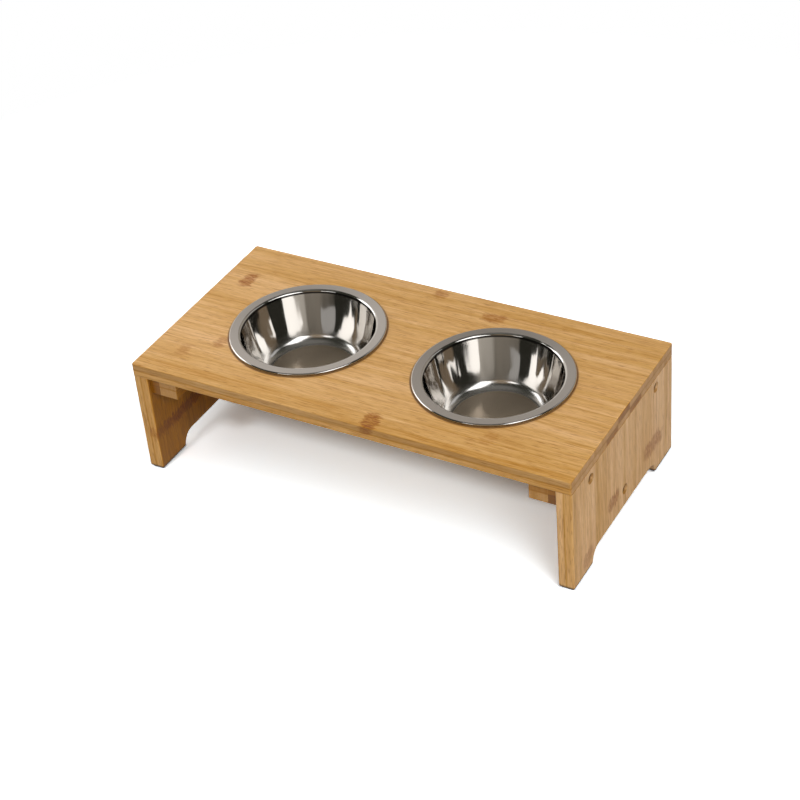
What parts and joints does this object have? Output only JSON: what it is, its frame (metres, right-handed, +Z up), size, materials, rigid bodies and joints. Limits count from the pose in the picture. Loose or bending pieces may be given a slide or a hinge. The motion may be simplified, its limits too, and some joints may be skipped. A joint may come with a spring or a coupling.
{
  "type": "elevated pet feeder",
  "caption": "Low bamboo table that holds round steel feeding bowls by their flanges in holes in its top, on footed side panels joined by a low rail.",
  "frame": {"origin": "on the floor, under the middle of the table", "axes": "+X to the right along the length, +Y to the back, +Z up"},
  "size_m": [0.405, 0.2, 0.1126],
  "materials": {
    "bamboo": "laminated bamboo strips, satin clear lacquer",
    "bowl_steel": "stainless steel, polished inside, satin flange",
    "screw_steel": "zinc plated",
    "pad_rubber": "matte"
  },
  "bodies": {
    "table": {"top_board": "bamboo", "left_side_panel": "bamboo", "right_side_panel": "bamboo", "left_cleat": "bamboo", "right_cleat": "bamboo", "stretcher_rail": "bamboo", "left_panel_screws": "screw_steel", "right_panel_screws": "screw_steel", "left_rail_screw": "screw_steel", "right_rail_screw": "screw_steel", "left_board_screws": "screw_steel", "right_board_screws": "screw_steel", "front_left_foot_pad": "pad_rubber", "back_left_foot_pad": "pad_rubber", "front_right_foot_pad": "pad_rubber", "back_right_foot_pad": "pad_rubber"},
    "left_bowl": {"left_bowl": "bowl_steel"},
    "right_bowl": {"right_bowl": "bowl_steel"}
  },
  "joints": [
    {"name": "left_bowl_lift", "type": "slide", "parent": "table", "child": "left_bowl", "axis": [0, 0, 1], "range_m": [0, 0.06]},
    {"name": "right_bowl_lift", "type": "slide", "parent": "table", "child": "right_bowl", "axis": [0, 0, 1], "range_m": [0, 0.06]}
  ]
}
